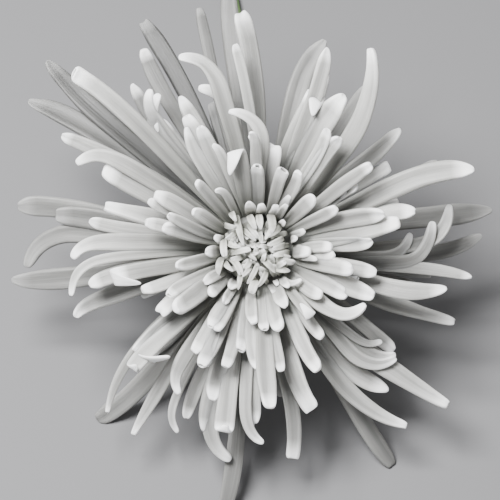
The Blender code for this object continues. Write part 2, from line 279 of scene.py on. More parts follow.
def readTone(nodes):
    # what growTube stored: brightness, share of the way, own number, paleness, round and along
    stored = nodes.new("ShaderNodeAttribute")
    stored.attribute_name = "tone"
    parts = nodes.new("ShaderNodeSeparateColor")
    setInputs(parts, {0: stored.outputs["Color"]})
    lengthMap = nodes.new("ShaderNodeUVMap")
    lengthMap.uv_map = "lengthMap"
    flat = nodes.new("ShaderNodeSeparateXYZ")
    setInputs(flat, {0: lengthMap.outputs[0]})
    return (*parts.outputs[:3], stored.outputs["Alpha"], flat.outputs[0], flat.outputs[1])


skinGrain = {
    "apart": 40.0,                  # how far apart two florets read the noise of their veins
    "veinDetail": 4.0, "veinRoughness": 0.6, "blotchDetail": 3.0,
    "veinEdges": (0.32, 0.62), "blotchEdges": (0.3, 0.7),   # noise that is dark, and that isn't
    "creaseEdges": (0.38, 0.49, 0.51, 0.62), "creaseStray": 0.14,   # as shares of the round, of the band of painted shade along the top groove
    "bumpHeight": 0.0003, "glowDepth": 0.0025,      # m
}


def growthSkin(name, look):
    # skin of a floret, bract or stem: lengthwise veins, soft blotches, a darker root, a paler tip;
    # the florets' darker root and the dark band of the crease are painted shade, and the ray florets'
    # paler tip is partly a painted highlight
    material, nodes = newMaterial(name)
    brightness, way, ownNumber, pale, around, along = readTone(nodes)
    veinPlace = nodes.new("ShaderNodeCombineXYZ")
    setInputs(veinPlace, {
        0: calculate(nodes, "MULTIPLY", around, look["veinsRound"]),
        1: calculate(nodes, "MULTIPLY", along, look["veinsAlong"]),
        2: calculate(nodes, "MULTIPLY", ownNumber, skinGrain["apart"]),
    })
    detail, roughness = skinGrain["veinDetail"], skinGrain["veinRoughness"]
    veins = noiseOn(nodes, veinPlace.outputs[0], 1.0, detail, roughness)
    place = nodes.new("ShaderNodeTexCoord").outputs["Object"]
    blotch = noiseOn(nodes, place, look["blotchScale"], skinGrain["blotchDetail"])
    stray = calculate(nodes, "SUBTRACT", ownNumber, 0.5)
    stray = calculate(nodes, "MULTIPLY", stray, skinGrain["creaseStray"])
    # painted shade: a darker band along the groove in the top
    creaseShadeTones = [grey(1.0), grey(look["creaseShade"]), grey(look["creaseShade"]), grey(1.0)]
    creaseShadeStops = list(zip(skinGrain["creaseEdges"], creaseShadeTones))
    shade = nodes.new("ShaderNodeCombineColor")
    setInputs(shade, {0: brightness, 1: brightness, 2: brightness})
    tones = [
        darkenUnder(nodes, veins, skinGrain["veinEdges"], look["veinDark"]),
        darkenUnder(nodes, blotch, skinGrain["blotchEdges"], look["blotchDark"]),
        colourRamp(nodes, calculate(nodes, "ADD", around, stray), creaseShadeStops),
        shade.outputs[0],
    ]
    body = colourRamp(nodes, way, look["alongStops"])
    for tone in tones:
        body = mixColours(nodes, "MULTIPLY", 1.0, body, tone)
    paling = calculate(nodes, "MULTIPLY", pale, look["paleShare"])
    body = mixColours(nodes, "MIX", paling, body, look["paleColour"])
    low, high = look["roughness"]
    rough = nodes.new("ShaderNodeMapRange")
    setInputs(rough, {"Value": veins, "To Min": low, "To Max": high})
    bump = nodes.new("ShaderNodeBump")
    setInputs(bump, {"Strength": look["bump"], "Distance": skinGrain["bumpHeight"], "Height": veins})
    setInputs(nodes["Principled BSDF"], {
        "Base Color": body, "Roughness": rough.outputs[0], "Normal": bump.outputs[0],
        "Subsurface Weight": look["glow"], "Subsurface Radius": look["glowColour"],
        "Subsurface Scale": skinGrain["glowDepth"], "Specular IOR Level": look["gloss"],
    })
    return material


raySkin = growthSkin("white ray floret", {
    "veinsRound": 17.0, "veinsAlong": 1.6, "veinDark": 0.76, "blotchScale": 160.0, "blotchDark": 0.88,
    # painted shade: the body of a white floret runs from dark grey at the root to light grey near the tip
    "alongStops": [
        (0.0, (0.17, 0.175, 0.15, 1)), (0.25, (0.24, 0.244, 0.225, 1)),
        (0.6, (0.34, 0.34, 0.325, 1)), (0.92, (0.48, 0.48, 0.465, 1)),
    ],
    "creaseShade": 0.74,
    # the pale tip is partly the floret's own white and partly a painted highlight
    "paleShare": 0.95, "paleColour": (0.97, 0.97, 0.965, 1), "roughness": (0.4, 0.6), "bump": 0.6,
    "glow": 0.5, "glowColour": (1.0, 0.96, 0.9), "gloss": 0.36,
})
discSkin = growthSkin("cream disc floret", {
    "veinsRound": 10.0, "veinsAlong": 2.0, "veinDark": 0.84, "blotchScale": 300.0, "blotchDark": 0.9,
    # painted shade: darker towards the root, in the crevices of the tangle
    "alongStops": [
        (0.0, (0.3, 0.305, 0.27, 1)), (0.35, (0.42, 0.425, 0.38, 1)),
        (0.75, (0.54, 0.545, 0.5, 1)), (1.0, (0.7, 0.7, 0.66, 1)),
    ],
    "creaseShade": 0.7,
    "paleShare": 0.85, "paleColour": (0.94, 0.94, 0.91, 1), "roughness": (0.4, 0.6), "bump": 0.3,
    "glow": 0.4, "glowColour": (1.0, 0.96, 0.85), "gloss": 0.36,
})
greenSkin = growthSkin("green stem and bracts", {
    "veinsRound": 30.0, "veinsAlong": 5.0, "veinDark": 0.5, "blotchScale": 90.0, "blotchDark": 0.72,
    "alongStops": [
        (0.0, (0.13, 0.24, 0.07, 1)), (0.4, (0.17, 0.31, 0.09, 1)), (1.0, (0.2, 0.34, 0.12, 1)),
    ],
    "creaseShade": 0.9,
    "paleShare": 0.85, "paleColour": (0.62, 0.68, 0.46, 1), "roughness": (0.42, 0.6), "bump": 0.6,
    "glow": 0.06, "glowColour": (0.6, 1.0, 0.3), "gloss": 0.35,
})
print("skins mixed")

# rows of ray florets, back to front: root (out, up), slope it leaves at, height of the tip for each
# mm of reach, slope of the last stretch, the range its tip curls up by (degrees), how much fuller it
# is than the listed width, and its brightness, lower towards the back rows as painted shade; paleTip says
# how far its tip pales, partly its own white and partly a painted highlight, the next how far painted
# shade darkens its tip, and the last how far painted shade darkens the florets at the upper left
rayRows = {
    "resting": {
        "root": (6.6, -4.4), "launch": -8, "rise": -0.2, "end": -22, "curl": (0, 0), "full": 1.2,
        "bright": 0.58, "paleTip": 0.0, "tipShade": 0.3, "upperLeftShade": 0.2,
    },
    "back": {
        "root": (6.6, -4.4), "launch": -4, "rise": -0.12, "end": -14, "curl": (0, 25), "full": 1.26,
        "bright": 0.6, "paleTip": 0.15, "tipShade": 0.3, "upperLeftShade": 0.8,
    },
    "outer": {
        "root": (6.6, -2.6), "launch": 9, "rise": 0.03, "end": -10, "curl": (5, 35), "full": 1.2,
        "bright": 0.88, "paleTip": 0.8, "upperLeftShade": 0.5,
    },
    "middle": {
        "root": (6.4, -0.8), "launch": 28, "rise": 0.22, "end": -12, "curl": (5, 45), "full": 1.24,
        "bright": 1.04, "paleTip": 1.0, "upperLeftShade": 0.25,
    },
    "inner": {
        "root": (6.6, 0.6), "launch": 50, "rise": 0.5, "end": 2, "curl": (5, 50), "full": 1.3,
        "bright": 1.12, "paleTip": 1.0,
    },
    "crown": {
        "root": (7.6, 1.2), "launch": 64, "rise": 0.8, "end": 30, "curl": (0, 50), "full": 1.3,
        "bright": 1.16, "paleTip": 1.0,
    },
    "heart": {
        "root": (8.3, 1.6), "launch": 74, "rise": 0.86, "end": 16, "curl": (0, 35), "full": 1.04,
        "bright": 1.2, "paleTip": 0.9,
    },
}

# direction of the tip (degrees, anticlockwise from the right of the face), reach (mm), how far it
# swings sideways (degrees), width (mm), and the kind of its tip where that isn't blunt; last, what
# a few have of their own: more lift (mm), the skew of their fold (degrees) or its length (widths)
rayFlorets = {
    "resting": [
        (302, 62, 0, 3.6), (262.4, 66, -1, 3.4, "point"), (226.8, 57, -3, 4.1),
    ],
    "back": [
        (138, 68.7, -1.5, 3.8, "point"), (147, 66.4, 4, 4.1, "point"), (116.6, 62, 3, 3.4),
        (103.4, 60.4, -1, 2.2), (96.1, 66, -0.5, 3.6, "point"), (72, 53.5, -4, 4.1, "point"),
        (55.4, 48.8, 0, 3.4), (26, 48.8, 0, 2.4, "round"), (9.6, 57.8, -3, 4.1, "point"),
        (3.8, 54.6, 6, 3.1, "point"), (352.8, 43, 0, 3.4, "notch"), (169.6, 59, 2, 4.1, "round"),
        (170.2, 49.5, 0, 4.3), (184.4, 56, 9, 3.8, "hook"), (187, 60, -2, 4.1, "point"),
    ],
    "outer": [
        (322.3, 42.2, 9, 3.0, "hook", {"lift": 5}), (341.5, 37.5, 0, 3.0), (303, 40, 3, 3.0),
        (201, 30, 0, 3.0), (149.7, 54.4, 5, 2.9, "round"), (127, 50, -4, 3.2, "point"),
        (119.5, 55.5, -1, 3.2), (94.3, 57.6, 5, 3.8, "notch"), (40.2, 45.1, 0, 3.4, "point"),
        (32.3, 37.8, -2, 2.9, "square"), (6.5, 37.1, 11, 3.0, "hook"), (9.4, 42.7, 16, 3.0, "hook"),
        (13.4, 47.6, 13, 3.0, "hook"), (352.7, 52, 0, 2.4, "point"), (340, 50.7, 2, 3.6, "taper"),
        (323.7, 40.9, -3, 2.9, "round"), (324, 37, 7, 1.8, "hook", {"lift": 4.5}),
        (323.2, 41.6, 7, 3.0, "hook", {"lift": 4}), (320.9, 59.3, 5, 4.3, "taper"),
        (313.1, 46.3, 9, 4.1, "point"), (310.5, 55.6, 10, 3.6, "taper"),
        (279.6, 50.8, -3, 2.9, "square"), (267.8, 43.5, 0, 2.4, "round"), (263, 50.8, 8, 3.6, "hook"),
        (254.3, 45.5, 3, 3.4, "round"), (247.1, 44, 0, 2.9, "round"), (246.7, 47.8, 7, 1.8, "hook"),
        (236.1, 53.6, 3, 2.9, "taper"), (227.4, 53.2, 12, 2.0, "taper"), (200.5, 46.6, 4, 3.9, "hook"),
    ],
    "middle": [
        (136, 60.6, 3, 3.4, "square"), (154.6, 47.6, 8, 3.1, "hook"), (152.3, 41.4, 0, 4.3),
        (123.4, 45.8, -6, 3.1, "hook"), (122, 43.8, -8, 3.1, "hook"), (112.3, 49.5, 11, 3.4, "hook"),
        (110, 41, 9, 3.1, "hook"), (96.2, 49.2, 5, 2.0), (71, 51, 2, 3.1, "point"),
        (69.5, 39.5, -4, 3.8, "fold", {"flap": 1.6}), (60.5, 42.4, -2, 4.5, "round"),
        (60.8, 55, 13, 4.0, "taper"), (20.2, 55, -5, 4.3, "point"), (13.6, 38.9, -2, 3.4, "round"),
        (348.6, 46, 5, 3.4, "point"), (289.1, 40.3, 2, 3.6, "square"), (269.1, 41.5, 3, 3.1, "round"),
        (272, 45.9, 7, 2.5, "hook"), (259.5, 43.4, 3, 3.6, "lip"), (253.5, 37.5, 0, 3.6, "round"),
        (241.8, 39.1, 6, 3.1, "hook"), (223.3, 40.6, 0, 3.1, "lip"),
        (223.5, 36.5, 4, 3.9, "fold", {"skew": -12, "flap": 1.5, "lift": 1}),
        (219.2, 38, 1, 2.5, "taper"), (170, 40.7, 0, 2.6, "round"), (164, 38, 2, 4.5, "taper"),
        (182.8, 44, 7, 3.6, "hook"), (194, 45.6, 12, 2.0, "hook"), (192, 41, 4, 3.1, "round"),
        (127.5, 39, 0, 4.0), (116.7, 41, 2, 3.1, "point"),
    ],
    "inner": [
        (118, 36, 3, 3.1), (119, 33.6, -3, 2.9), (115, 32.6, 2, 2.9, "round"), (113, 26.6, 0, 2.6),
        (101.7, 33.4, 14, 2.5, "hook"), (94, 28, 5, 3.1, "hook"), (80.3, 26, 0, 3.4, "notch"),
        (59.6, 33.4, 2, 2.4), (53.6, 33.6, 0, 2.9, "round"), (36.6, 33.8, 0, 2.6),
        (15.4, 31.6, -6, 3.4, "round"), (11, 34.4, 2, 3.8), (12, 23, 0, 2.6),
        (4.5, 27.8, 0, 2.9, "round"), (34.5, 25.9, 3, 2.4), (32.6, 28.5, -3, 2.4), (344.2, 25.4, 0, 2.9),
        (349.3, 29, 0, 2.9, "round"), (338.5, 30.1, 0, 3.4, "round"), (333, 24.2, 0, 3.1),
        (333.8, 28.6, 14, 3.2, "hook"), (306.8, 26.2, 0, 2.4), (297, 32.3, 0, 2.9),
        (298.3, 25.6, 3, 2.4), (281.3, 29.4, 0, 2.2), (274.8, 37.6, 0, 3.4), (271, 28.3, 6, 2.4),
        (254.8, 28.9, 0, 2.4), (260.4, 24.6, 0, 2.9), (244, 31, 0, 2.9), (246, 30.2, 4, 2.4),
        (238, 28.6, 0, 2.6), (190.7, 35, 0, 3.0, "fold", {"skew": -12, "flap": 2.4}),
        (199.3, 29, 0, 2.4), (213.3, 28, 5, 2.9, "notch"), (166, 27.5, 0, 2.4), (151.7, 27.8, 0, 2.9),
    ],
    "crown": [
        (89.7, 21, 0, 2.9), (71.7, 20.9, 0, 2.4, "square"), (62, 21.4, 3, 2.4), (28, 21.4, 0, 2.4),
        (2, 17.8, 0, 2.4), (354.5, 18.8, -3, 2.6), (347.7, 23.6, 0, 3.1), (238.8, 21.7, 0, 2.6),
        (215.4, 25, 0, 3.6), (207.3, 24, 3, 2.4), (166.4, 23, 0, 2.9), (158.4, 22.8, -4, 2.0),
        (190.4, 20, 0, 2.4), (131.5, 22, 0, 2.2), (148.4, 18.3, 0, 2.4), (224.7, 16.2, 4, 2.4),
        (268, 17.7, 6, 2.2), (286, 20.2, 0, 2.9), (309, 20.4, 0, 2.1, "fold"), (43, 19, 0, 2.9),
        (102, 24, 0, 3.3, "fold", {"skew": -20, "flap": 1.6}), (325, 19, 3, 2.6),
    ],
    "heart": [
        (182, 13, 0, 2.9, "round"), (163, 10.8, 0, 2.2), (212, 14.8, 0, 2.6),
        (100, 12.4, 0, 2.7, "round"), (85, 11.5, 0, 2.6), (67, 11.8, 0, 2.1), (57, 13.2, 0, 1.8),
        (47, 9.8, 0, 1.8), (22.6, 12.6, 0, 1.8), (16, 10.4, 0, 1.8, "round"), (358, 13, 0, 3.4),
        (351.4, 14.7, 0, 1.8, "hook"), (327, 12.6, 14, 1.8, "hook"), (311, 11.8, 0, 2.0),
        (235, 12, 0, 2.7, "round"),
    ],
}

# small ones that show between the others
slipFlorets = {
    "outer": [(69.4, 46, 0, 3.0)],
    "inner": [(155.6, 28.5, 0, 2.0)],
    "crown": [
        (113, 27, 4, 2.0, "hook"), (93.5, 28.5, 4, 2.2, "hook"), (125.6, 17.7, 6, 1.8, "hook"),
        (243, 21.6, 0, 2.4), (275.6, 19.5, 0, 2.2), (58.7, 15.7, 0, 2.2, "hook"),
    ],
    "heart": [
        (300, 9.8, 0, 1.3), (297, 15.6, 0, 3.3, "round"), (291, 11.4, 0, 1.4), (238, 15.2, 0, 2.2),
    ],
}

rayShape = {
    "seed": 12,                     # the same draws as the solids make, so the heights agree
    "looksSeed": 31,
    "lift": 1.2,                    # tips stand up to this much higher or lower, in mm
    "clearance": 1.0,               # of a low tip over the surface, in mm
    "underside": 0.56,              # how far under its middle that is measured, in widths
    "steps": 48,                    # of a floret's path
    "handles": (0.38, 0.34),        # how long it keeps the slope of its root, and takes that of its tip
    "sweepPower": 3.5, "hookPower": 14,     # how late it swings sideways
    "bow": 1.1,                     # how far a floret bows aside, in degrees
    "bowWaves": (7, 3),             # how that changes with its direction and reach
    "widths": [(0.0, 0.46), (0.12, 0.56), (0.3, 0.76), (0.55, 0.96), (0.75, 1.0), (0.9, 1.0), (1.0, 0.98)],
    "swelling": 0.045,              # how far its width rises and falls
    "swellWaves": (19, 7),          # how that changes on the way and with its length
    "longFrom": 27,                 # in mm; the rings of longer and of shorter florets:
    "longShares": (0.0, 0.12, 0.3, 0.5, 0.7, 0.88), "shortShares": (0.0, 0.25, 0.6),
    "thickness": 0.44,              # of a floret, as a share of its width
    "thicknessRange": (0.9, 1.1), "brightRange": (0.82, 1.12), "mouthRange": (0.7, 1.2),
    "crease": (0.25, 0.95),         # how far the top sinks in
    "openShare": 0.35,              # of the blunt tips, how many show the mouth of the quill
    "twist": 26,                    # degrees from root to tip, either way
    "foldTwist": 0.3,               # the share of it that a folded floret keeps
    "ruffle": 0.05,                 # unevenness of the tip, as a share of the width
    "ruffledRings": 6,
    "upperLeftShadeSide": 125, "upperLeftShadeSpread": 26,      # where the painted shade on the florets at the upper left is centred and how far it spreads, in degrees
    "paleReach": 0.85, "palePower": 0.5,    # how far back the pale tip reaches, in widths, and how late
    "curlReach": 1.6, "curlPower": 1.3,     # how far back a tip curls up, in widths, and how late
    "flaps": {"fold": 1.85, "lip": 0.45},   # length of a tip that is folded back, in widths
    "foldAngle": 168, "foldRadius": 0.27,   # of the turn, in degrees and in widths
    "foldReach": 0.6,               # how far before its flap a fold begins, in widths
    "splitDepths": (0.02, 0.08, 0.22, 0.36, 0.42),  # of a split tip's middle, ring by ring, in widths
    "fillCount": 12, "fillReach": (34, 40), "fillWidth": 3.2, "fillStray": 6, "fillLift": -1.5,
}

# rings near the tip: distance back from the end in widths, share of width, share of depth
tipRings = {
    "blunt": [(1.5, 1, 1), (0.85, 0.93, 1.05), (0.38, 0.8, 1.1), (0.1, 0.62, 0.95), (0, 0.42, 0.6)],
    "round": [(1.5, 1, 1), (0.9, 0.96, 1), (0.45, 0.82, 0.95), (0.14, 0.55, 0.7), (0, 0.25, 0.35)],
    "hook": [(2.6, 0.95, 1), (1.5, 0.82, 1), (0.8, 0.7, 1.1), (0.3, 0.55, 1), (0, 0.32, 0.6)],
    "point": [(1.9, 1, 1), (1.0, 0.86, 0.9), (0.42, 0.62, 0.7), (0.12, 0.36, 0.5), (0, 0.16, 0.3)],
    "taper": [(3.4, 0.97, 1), (1.9, 0.78, 1), (0.8, 0.58, 1.1), (0.2, 0.48, 1), (0, 0.3, 0.6)],
    "square": [(1.3, 1, 1), (0.65, 1, 0.95), (0.25, 0.96, 0.85), (0.06, 0.8, 0.7), (0, 0.6, 0.45)],
    "notch": [(1.5, 1, 1), (0.8, 0.96, 0.95), (0.35, 0.88, 0.8), (0.12, 0.74, 0.65), (0, 0.5, 0.4)],
    "lip": [
        (2.1, 1, 0.9), (1.5, 1, 0.75), (1.05, 0.98, 0.6),
        (0.5, 0.82, 0.55), (0.15, 0.5, 0.5), (0, 0.3, 0.3),
    ],
    "fold": [
        (2.9, 1, 0.75), (2.45, 0.95, 0.5), (1.95, 0.98, 0.5),
        (1.2, 0.86, 0.5), (0.5, 0.5, 0.5), (0, 0.14, 0.3),
    ],
}
# how wide the open ends are, as a share of the last ring
tipMouths = {"blunt": 0.55, "round": 0.3, "taper": 0.5, "square": 0.7}


def surfaceHeight(up):
    # where the surface lies in the bloom's frame, under a point this far up its face
    return -(bloom["centre"].z + up * math.sin(bloom["lean"])) / math.cos(bloom["lean"])


def floretPath(rowName, direction, reach, swing, width, lift, kind, flap, skew, looks):
    row = rayRows[rowName]
    height = row["root"][1] + row["rise"] * reach + lift
    floor = surfaceHeight(reach * math.sin(math.radians(direction)))
    lowestTip = floor + rayShape["clearance"] + rayShape["underside"] * width
    height = floor if rowName == "resting" else max(height, lowestTip)
    root, tip = Vector(row["root"]), Vector((reach, height))
    span = (tip - root).length
    leaving, arriving = rayShape["handles"]
    control = (
        root, root + slope(leaving * span, row["launch"]),
        tip - slope(arriving * span, row["end"]), tip,
    )
    power = rayShape["hookPower"] if kind == "hook" else rayShape["sweepPower"]
    byDirection, byReach = rayShape["bowWaves"]
    bow = rayShape["bow"] * math.sin(byDirection * direction + byReach * reach)
    points = []
    steps = rayShape["steps"]
    for step in range(steps + 1):
        t = step / steps
        out, up = bezier(control, t)
        angle = math.radians(direction - swing * (1 - t**power) + bow * math.sin(math.tau * t))
        points.append(Vector((out * math.cos(angle), out * math.sin(angle), up)))
    if flap:
        return foldOver(points, width, flap, math.radians(skew))
    return curlUp(points, rayShape["curlReach"] * width, math.radians(looks.uniform(*row["curl"])))


def curlUp(points, stretch, angle):
    # turns the last stretch of a path out of the face
    total = sum((after - before).length for before, after in zip(points, points[1:]))
    curled = [points[0]]
    distance = 0.0
    for before, after in zip(points, points[1:]):
        step = after - before
        distance += step.length
        beyond = max(distance - (total - stretch), 0) / stretch
        side = Vector((-after.y, after.x, 0)).normalized()
        curled.append(curled[-1] + Quaternion(side, -angle * beyond ** rayShape["curlPower"]) @ step)
    return curled


def foldOver(points, width, flap, skew):
    # the tip turns over towards the eye and lies back along the floret as a flap, or askew
    along = (points[-1] - points[-2]).normalized()
    side = Vector((-points[-1].y, points[-1].x, 0)).normalized()
    side = Quaternion((0, 0, 1), 0.5 * skew) @ side       # the flap turns by twice as much as the fold
    turnSteps, flapSteps = 7, 8
    point = points[-1]
    for _ in range(turnSteps):
        along = Quaternion(side, -math.radians(rayShape["foldAngle"]) / turnSteps) @ along
        point = point + along * (rayShape["foldRadius"] * width * math.pi / turnSteps)
        points.append(point)
    for _ in range(flapSteps):
        point = point + along * (flap * width / flapSteps)
        points.append(point)
    return points


def floretRings(points, width, kind, flap, twist, thickness, paleTip):
    # the rings of one floret, root to tip
    side = Vector((-points[0].y, points[0].x, 0)).normalized()
    frames = walkPath(points, side)
    length = frames[-1][0]
    folded = flap + rayShape["foldReach"]
    stretch = width
    if flap:                        # a longer flap than its kind's draws the rings of the tip out
        stretch *= folded / (rayShape["flaps"][kind] + rayShape["foldReach"])
    tipStart = length - tipRings[kind][0][0] * stretch
    shares = rayShape["longShares"] if length > rayShape["longFrom"] else rayShape["shortShares"]
    stations = [(share * tipStart, 1, 1) for share in shares]
    stations += [(length - back * stretch, wide, deep) for back, wide, deep in tipRings[kind]]
    byShare, byLength = rayShape["swellWaves"]
    rings = []
    for distance, wide, deep in stations:
        share = distance / length
        point, along, across = frameAt(frames, distance)
        half = 0.5 * width * readCurve(rayShape["widths"], share)
        half *= 1 + rayShape["swelling"] * math.sin(byShare * share + byLength * length)
        back = length - distance
        # the pale tip and the folded flap are partly their own white and partly a painted highlight where
        # they turn to the light
        pale = max(0.0, 1 - back / (rayShape["paleReach"] * width)) ** rayShape["palePower"]
        if flap and back < folded * width:
            pale = 1.0
        halfWidth, halfDepth = half * wide, half * thickness * deep
        matrix = ringMatrix(point, along, across, halfWidth, halfDepth, twist * share, faceToWorld)
        rings.append((matrix, share, pale * paleTip))
    return rings


# the two rings of an open end: how far back (widths), how wide, share of the way, paleness
mouthRings = [(0.12, 1.0, 0.9, 0.2), (0.6, 0.7, 0.15, 0.0)]


def addMouth(rings, width, opening):
    # the open end of the quill is turned in and goes back down the tube
    last = rings[-1][0]
    added = []
    for back, wide, way, pale in mouthRings:
        inside = Matrix.Diagonal((opening * wide, opening * wide, 1, 1))
        added.append((last @ Matrix.Translation((0, 0, -back * width)) @ inside, way, pale))
    return rings + added


def creasedSection(crease):
    # how far each corner stands out, across and through: top, shoulders, edges, belly
    top, shoulder, edge, belly = (1, 1 - crease), (1.12, 1.08 + 0.12 * crease), (1, 1), (1.08, 1)
    return [top, shoulder, edge, belly, (1, 1), belly, edge, shoulder]


def addRayFloret(bm, layers, rowName, measures, lift, kind, own, looks):
    row = rayRows[rowName]
    width = measures[3] * row["full"]
    flap = own.get("flap", rayShape["flaps"].get(kind, 0))
    points = floretPath(rowName, *measures, lift, kind, flap, own.get("skew", 0), looks)
    twist = math.radians(eitherWay(looks, rayShape["twist"]))
    if flap:
        twist *= rayShape["foldTwist"]
    thickness = rayShape["thickness"] * looks.uniform(*rayShape["thicknessRange"])
    rings = floretRings(points, width, kind, flap, twist, thickness, row["paleTip"])
    mouth = tipMouths.get(kind, 0) * looks.uniform(*rayShape["mouthRange"])
    if mouth and (kind != "blunt" or looks.random() < rayShape["openShare"]):
        rings = addMouth(rings, width, mouth)
    section = creasedSection(looks.uniform(*rayShape["crease"]))
    # painted shade darkening the florets near the upper left of the back rows
    away = (measures[0] - rayShape["upperLeftShadeSide"]) / rayShape["upperLeftShadeSpread"]
    brightness = row["bright"] * looks.uniform(*rayShape["brightRange"])
    brightness *= 1 - row.get("upperLeftShade", 0) * math.exp(-away * away)
    rows = growTube(bm, layers, section, rings, brightness, looks.random(), row.get("tipShade", 0))
    if kind == "notch":
        splitTip(rows, points, width)
    ruffle(rows[-rayShape["ruffledRings"]:], rayShape["ruffle"] * width * mm, looks)


def splitTip(rows, points, width):
    # the middle of the tip is drawn back, so that two horns stand at its sides
    ahead = (faceToWorld.to_3x3() @ (points[-1] - points[-3])).normalized()
    depths = rayShape["splitDepths"]
    for depth, verts in zip(depths, rows[-len(depths):]):
        middle = sum((vert.co for vert in verts), Vector()) / len(verts)
        reach = max((vert.co - middle).length for vert in verts)
        for vert in verts:
            outward = (vert.co - middle).length / reach
            vert.co -= ahead * depth * width * mm * (1 - outward**2)


def readFloret(floret, lift):
    # its measures, its lift, the kind of its tip and what it has of its own
    kind = floret[4] if len(floret) > 4 else "blunt"
    own = floret[5] if len(floret) > 5 else {}
    return floret[:4], lift + own.get("lift", 0), kind, own


def listRayFlorets():
    # every ray floret with its lift, in the order that the solids draw them
    draw = random.Random(rayShape["seed"])
    lift = rayShape["lift"]
    listed = {}
    for rowName, florets in rayFlorets.items():
        listed[rowName] = [readFloret(floret, eitherWay(draw, lift)) for floret in florets]
    for index in range(rayShape["fillCount"]):
        direction = 360 * (index + 0.5) / rayShape["fillCount"] + eitherWay(draw, rayShape["fillStray"])
        measures = (direction, draw.uniform(*rayShape["fillReach"]), 0, rayShape["fillWidth"])
        listed["back"].append(readFloret(measures, rayShape["fillLift"]))
    for rowName, florets in slipFlorets.items():
        listed[rowName] += [readFloret(floret, draw.uniform(-lift, 0)) for floret in florets]
    return listed


def makeRayFlorets():
    listed = listRayFlorets()
    looks = random.Random(rayShape["looksSeed"])
    pieces = {
        "ray_florets_back": ("resting", "back"), "ray_florets_outer": ("outer",),
        "ray_florets_middle": ("middle",), "ray_florets_inner": ("inner",),
        "ray_florets_crown": ("crown", "heart"),
    }
    for pieceName, rowNames in pieces.items():
        bm, layers = newPiece()
        for rowName in rowNames:
            for floret in listed[rowName]:
                addRayFloret(bm, layers, rowName, *floret, looks)
        finishPiece(bm, pieceName, raySkin, "ray_florets")


def makeHead():
    bm, layers = newPiece()
    profile = [(0, bloom["headTop"]), *bloom["headSide"], (0, bloom["headBottom"])]
    spinSolid(bm, layers, profile, steps=24, brightness=0.6)
    finishPiece(bm, "floret_head", raySkin, "ray_florets", levels=1)


makeHead()
makeRayFlorets()
print("ray florets grown")

discShape = {
    "seed": 7,
    "steps": 14,                    # of a tube's path
    "limit": 9.2,                   # the farthest that a low tube reaches out, in mm
    "button": [(0, 3.6), (4.44, 3.06), (7.4, 1.08), (7.4, 0), (0, 0)],  # radius, height over the seat
    # rings of low tubes under the listed ones: how many, how far out, root height over the seat,
    # length, and how many degrees they bend over towards the middle
    "rings": [
        (20, 8.2, 0.6, (5.6, 7.0), (60, 105)), (18, 6.4, 1.2, (5.2, 6.6), (50, 100)),
        (14, 4.4, 2.0, (4.4, 5.8), (35, 90)), (9, 2.4, 2.8, (3.6, 4.8), (20, 80)),
        (4, 0.8, 3.2, (3.2, 4.2), (10, 60)),
    ],
    "ringTurn": 17,                 # degrees that a ring is turned for each mm that it lies out
    "stray": {"round": 0.3, "out": 0.5, "up": 0.4, "heading": 0.6},     # of its spacing, mm, mm, radians
    "bendPower": 1.2,               # how late a low tube bends
    "width": (1.3, 1.8),            # of a low tube
    "full": 1.06,                   # how much wider the listed ones are than listed
    "pointedShare": 0.7,            # of them
    "rootUp": 2.6,                  # height of the listed roots over the seat
    "archUp": 6.6,                  # height of the tubes on top
    "layerUp": 0.55,                # height of each layer over the one below
    # handles of its curve: mm aside for each unit of bow, mm over the top
    "firstHandle": (0.84, 0.6), "lastHandle": (1.4, 0.5),
    "lastHandleAt": 0.6,            # of the way from root to tip
    "tipDrop": 0.5, "outwardDrop": 0.32,    # mm, and for each mm that the tip lies farther out
    "thickness": 0.5,
    "widths": [(0, 0.6), (0.3, 0.85), (0.62, 1.0)],     # share of the way, share of the width
    "pointedEnd": [(0.8, 0.8), (0.93, 0.5), (1.0, 0.2)],
    "openEnd": [(0.86, 1.0), (0.96, 0.8), (1.0, 0.5)],
    "section": [(1.0, 0.25), (1.1, 1.1), (1.0, 1.0), (1.0, 1.0), (1.0, 1.0), (1.1, 1.1)],
    "mouth": 0.6, "roll": 40, "ruffle": 0.07, "plainRings": 2,      # at the root, without a ruffle
    "paleFrom": 0.8, "paleRate": 4, "brightRange": (0.78, 1.1),
}

